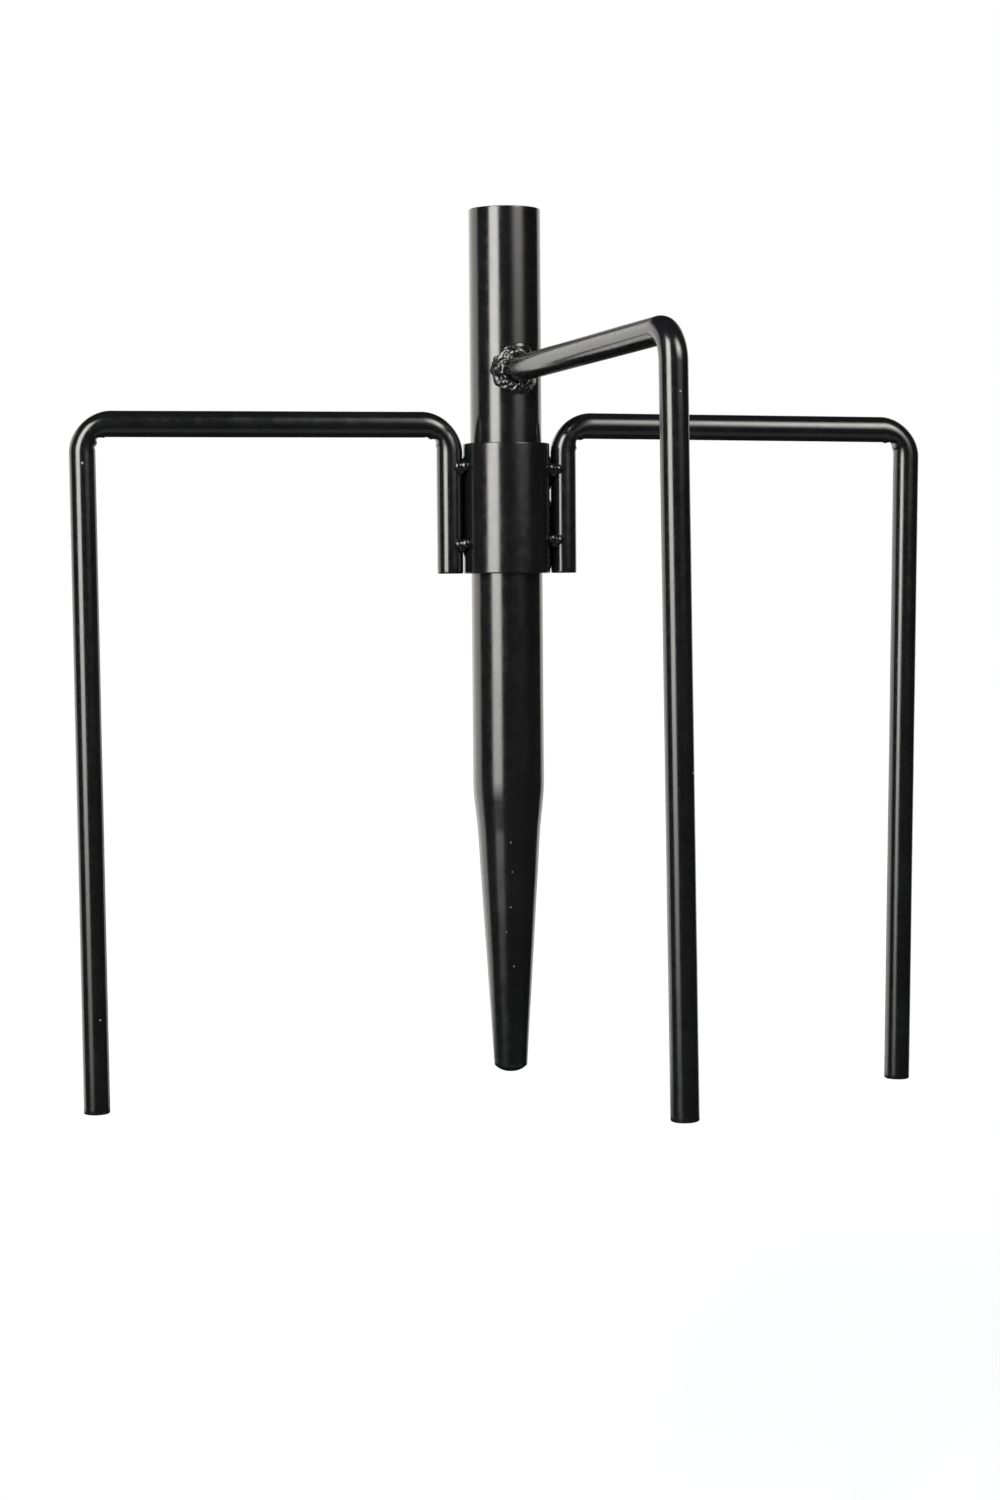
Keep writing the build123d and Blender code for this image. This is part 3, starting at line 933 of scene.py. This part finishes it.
class STAKE_OT_stage(bpy.types.Operator):
    """Builds the floor, the reflected wall and sheets, the lamp, the world and the camera"""

    bl_idname = "stake.stage"
    bl_label = "Build stage"

    def execute(self, context):
        studio = context.scene.stake_studio
        scene = context.scene
        scene.view_settings.view_transform = "Standard"
        facing = Euler(studio.camera_turn, "XYZ")
        camera = bpy.data.objects.new("camera", bpy.data.cameras.new("camera"))
        camera.location = studio.camera_place
        camera.rotation_euler = facing
        camera.data.sensor_fit = "VERTICAL"
        camera.data.sensor_height = 36.0
        camera.data.lens = studio.lens
        camera.data.clip_start = 0.01
        scene.collection.objects.link(camera)
        scene.camera = camera
        back = facing.to_matrix() @ Vector((0, 0, 1))
        home = np.degrees(np.arctan2(back.x, -back.y))
        turn = angle(home - LAMP_BEARING)
        place = Vector((LAMP_REACH * np.sin(turn), -LAMP_REACH * np.cos(turn), LAMP_HEIGHT))
        aim = Vector((0.0, 0.0, LAMP_AIM_HEIGHT)) - place
        self.lamp("soft_lamp", place, aim, studio.lamp_power)
        self.floor(studio, place, aim)
        self.shell(studio, home)
        self.world(studio)
        return {"FINISHED"}

    def seen(self, tree):
        """Socket that is 1 for camera, glossy and transmission rays, and 0 for all others."""
        nodes, links = tree.nodes, tree.links
        path = nodes.new("ShaderNodeLightPath")
        total = path.outputs["Is Camera Ray"]
        for ray in ("Is Glossy Ray", "Is Transmission Ray"):
            join = nodes.new("ShaderNodeMath")
            join.operation = "MAXIMUM"
            links.new(total, join.inputs[0])
            links.new(path.outputs[ray], join.inputs[1])
            total = join.outputs[0]
        return total

    def floor(self, studio, lamp_place, lamp_aim):
        """Flat pale floor. What it lacks of white is added for the eye, so that it meets the background.

        The lack is 1 - paleness * (room level + lamp level), and the lamp level at a point is
        power / pi^2 * cos(angle at the lamp) * cos(angle at the floor) / distance^2.
        """
        side = np.linspace(-FLOOR_REACH, FLOOR_REACH, 161)
        east, north = (axis.ravel() for axis in np.meshgrid(side, side))
        points = np.stack([east, north, np.full(len(east), studio.floor_height)], -1)
        corner = np.arange(len(side) - 1)
        first = (corner[:, None] * len(side) + corner[None, :]).ravel()
        faces = np.stack([first, first + 1, first + len(side) + 1, first + len(side)], -1)
        piece = mesh_object("floor", points, faces)
        ray = points - np.array(lamp_place)
        distance = np.linalg.norm(ray, axis=1)
        at_lamp = np.clip(ray @ np.array(lamp_aim.normalized()) / distance, 0, None)
        lamp_level = studio.lamp_power / np.pi**2 * at_lamp * np.abs(ray[:, 2]) / distance**3
        lack = 1.0 - PALENESS * (WORLD_GREY * studio.room_level + lamp_level) + studio.floor_margin
        shade = piece.data.attributes.new("lack", "FLOAT", "POINT")
        shade.data.foreach_set("value", lack.astype(np.float32))
        material, nodes, links = new_material("pale_floor")
        paint = nodes["Principled BSDF"]
        socket(paint, "Base Color", (PALENESS, PALENESS, PALENESS, 1.0))
        socket(paint, "Roughness", 0.9)
        socket(paint, "Specular IOR Level", 0.0)
        white = nodes.new("ShaderNodeEmission")
        source = nodes.new("ShaderNodeAttribute")
        source.attribute_name = "lack"
        strength = nodes.new("ShaderNodeMath")
        strength.operation = "MULTIPLY"
        links.new(source.outputs["Fac"], strength.inputs[0])
        links.new(self.seen(material.node_tree), strength.inputs[1])
        links.new(strength.outputs[0], white.inputs["Strength"])
        both = nodes.new("ShaderNodeAddShader")
        links.new(paint.outputs[0], both.inputs[0])
        links.new(white.outputs[0], both.inputs[1])
        links.new(both.outputs[0], nodes["Material Output"].inputs["Surface"])
        piece.data.materials.append(material)

    def shell(self, studio, home):
        """Round wall that only reflections see: soft panels on black cloth.

        The wall is a cylinder about the pole. Each panel is a smooth step up and down in bearing, counted
        from the camera, times a smooth step up and down in height, times its brightness, and they add up.
        """
        bearing = np.linspace(-180, 180, 241)[:, None]
        height = np.concatenate([np.linspace(-1.6, 0.6, 111), np.linspace(0.65, WALL_TOP, 40)])[None, :]
        glow = studio.cloth_glow + 0 * bearing + 0 * height
        for panel in PANELS:
            left, right, side_blur, foot, foot_blur, top, top_blur, power = panel
            across = smooth((bearing - left) / side_blur + 0.5) * smooth((right - bearing) / side_blur + 0.5)
            upward = smooth((height - foot) / foot_blur + 0.5) * smooth((top - height) / top_blur + 0.5)
            glow = glow + power * across * upward
        turn = np.radians(home + bearing)
        east, north = WALL_RADIUS * np.sin(turn), -WALL_RADIUS * np.cos(turn)
        wall = np.stack([east + 0 * height, north + 0 * height, height + 0 * turn], -1)
        rows, columns = glow.shape
        row, column = np.meshgrid(np.arange(rows - 1), np.arange(columns - 1), indexing="ij")
        first = row * columns + column
        faces = np.stack([first, first + 1, first + columns + 1, first + columns], -1).reshape(-1, 4)
        shell = mesh_object("reflected_wall", wall.reshape(-1, 3), faces)
        shade = shell.data.attributes.new("glow", "FLOAT", "POINT")
        shade.data.foreach_set("value", glow.astype(np.float32).ravel())
        light, nodes, links = self.glowing(shell, "lit_cloth")
        socket(light, "Color", (*studio.panel_colour, 1.0))
        source = nodes.new("ShaderNodeAttribute")
        source.attribute_name = "glow"
        links.new(source.outputs["Fac"], light.inputs["Strength"])
        floor = studio.floor_height
        full = (-CLOTH_REACH, CLOTH_REACH)
        sheets = (
            ("top_cloth", WALL_TOP, full, full, studio.cloth_glow),
            ("floor_cloth", floor + 0.004, full, full, studio.cloth_glow),
            ("floor_sheet", floor + 0.008, (-0.6, 0.6), (-0.42, -0.06), studio.sheet_glow),
        )
        for name, level, (west, east), (south, north), glow in sheets:
            corners = [(west, south, level), (east, south, level), (east, north, level), (west, north, level)]
            sheet = mesh_object(name, np.array(corners), np.array([[0, 1, 2, 3]]))
            light, _, _ = self.glowing(sheet, name)
            socket(light, "Strength", glow)
            self.reflections_only(sheet)
        self.reflections_only(shell)

    def glowing(self, card, name):
        """Gives a stage card a material that only shines. Returns its light, its nodes and its links."""
        material, nodes, links = new_material(name)
        light = nodes.new("ShaderNodeEmission")
        links.new(light.outputs[0], nodes["Material Output"].inputs["Surface"])
        card.data.materials.append(material)
        return light, nodes, links

    def reflections_only(self, card):
        card.visible_camera = False
        card.visible_diffuse = False
        card.visible_transmission = False
        card.visible_shadow = False

    def lamp(self, name, place, aim, power):
        """Soft square lamp aimed at the middle of the stake, for matt surfaces only."""
        light = bpy.data.lights.new(name, "AREA")
        light.shape = "SQUARE"
        light.size = 0.5
        light.energy = power
        lamp = bpy.data.objects.new(name, light)
        lamp.matrix_world = Matrix.Translation(place) @ aim.to_track_quat("-Z", "Y").to_matrix().to_4x4()
        lamp.visible_camera = False
        lamp.visible_glossy = False
        bpy.context.scene.collection.objects.link(lamp)

    def world(self, studio):
        """Even world: white to the eye and in reflections, and at the room level on matt surfaces."""
        world = bpy.data.worlds.new("studio")
        world.use_nodes = True
        nodes, links = world.node_tree.nodes, world.node_tree.links
        room = nodes["Background"]
        socket(room, "Color", (0.97, 0.985, 1.0, 1.0))
        socket(room, "Strength", studio.room_level)
        white = nodes.new("ShaderNodeBackground")
        socket(white, "Color", (1.0, 1.0, 1.0, 1.0))
        mix = nodes.new("ShaderNodeMixShader")
        links.new(self.seen(world.node_tree), mix.inputs[0])
        links.new(room.outputs[0], mix.inputs[1])
        links.new(white.outputs[0], mix.inputs[2])
        links.new(mix.outputs[0], nodes["World Output"].inputs["Surface"])
        bpy.context.scene.world = world


class STAKE_PT_panel(bpy.types.Panel):
    """Lists the builders in the sidebar"""

    bl_idname = "STAKE_PT_panel"
    bl_label = "Ground stake"
    bl_space_type = "VIEW_3D"
    bl_region_type = "UI"
    bl_category = "Stake"

    def draw(self, context):
        for group in (context.scene.stake_finish, context.scene.stake_sizes, context.scene.stake_studio):
            box = self.layout.box()
            for key in group.__annotations__:
                box.prop(group, key)
        for builder in BUILDERS:
            self.layout.operator(builder.bl_idname)


BUILDERS = (
    STAKE_OT_pole, STAKE_OT_collar, STAKE_OT_prongs, STAKE_OT_front_weld, STAKE_OT_tacks, STAKE_OT_nibs,
    STAKE_OT_stage,
)
CLASSES = (StakeFinish, StakeSizes, StakeStudio, *BUILDERS, STAKE_PT_panel)


def register():
    """Registers the classes and hangs the three groups on the scene."""
    for item in CLASSES:
        bpy.utils.register_class(item)
    bpy.types.Scene.stake_finish = bpy.props.PointerProperty(type=StakeFinish)
    bpy.types.Scene.stake_sizes = bpy.props.PointerProperty(type=StakeSizes)
    bpy.types.Scene.stake_studio = bpy.props.PointerProperty(type=StakeStudio)


def unregister():
    """Takes back what register did."""
    del bpy.types.Scene.stake_studio
    del bpy.types.Scene.stake_sizes
    del bpy.types.Scene.stake_finish
    for item in reversed(CLASSES):
        bpy.utils.unregister_class(item)


def main():
    register()
    bpy.ops.stake.pole()
    bpy.ops.stake.collar()
    bpy.ops.stake.prongs()
    bpy.ops.stake.front_weld()
    bpy.ops.stake.tacks()
    bpy.ops.stake.nibs()
    bpy.ops.stake.stage()


if __name__ == "__main__":
    main()
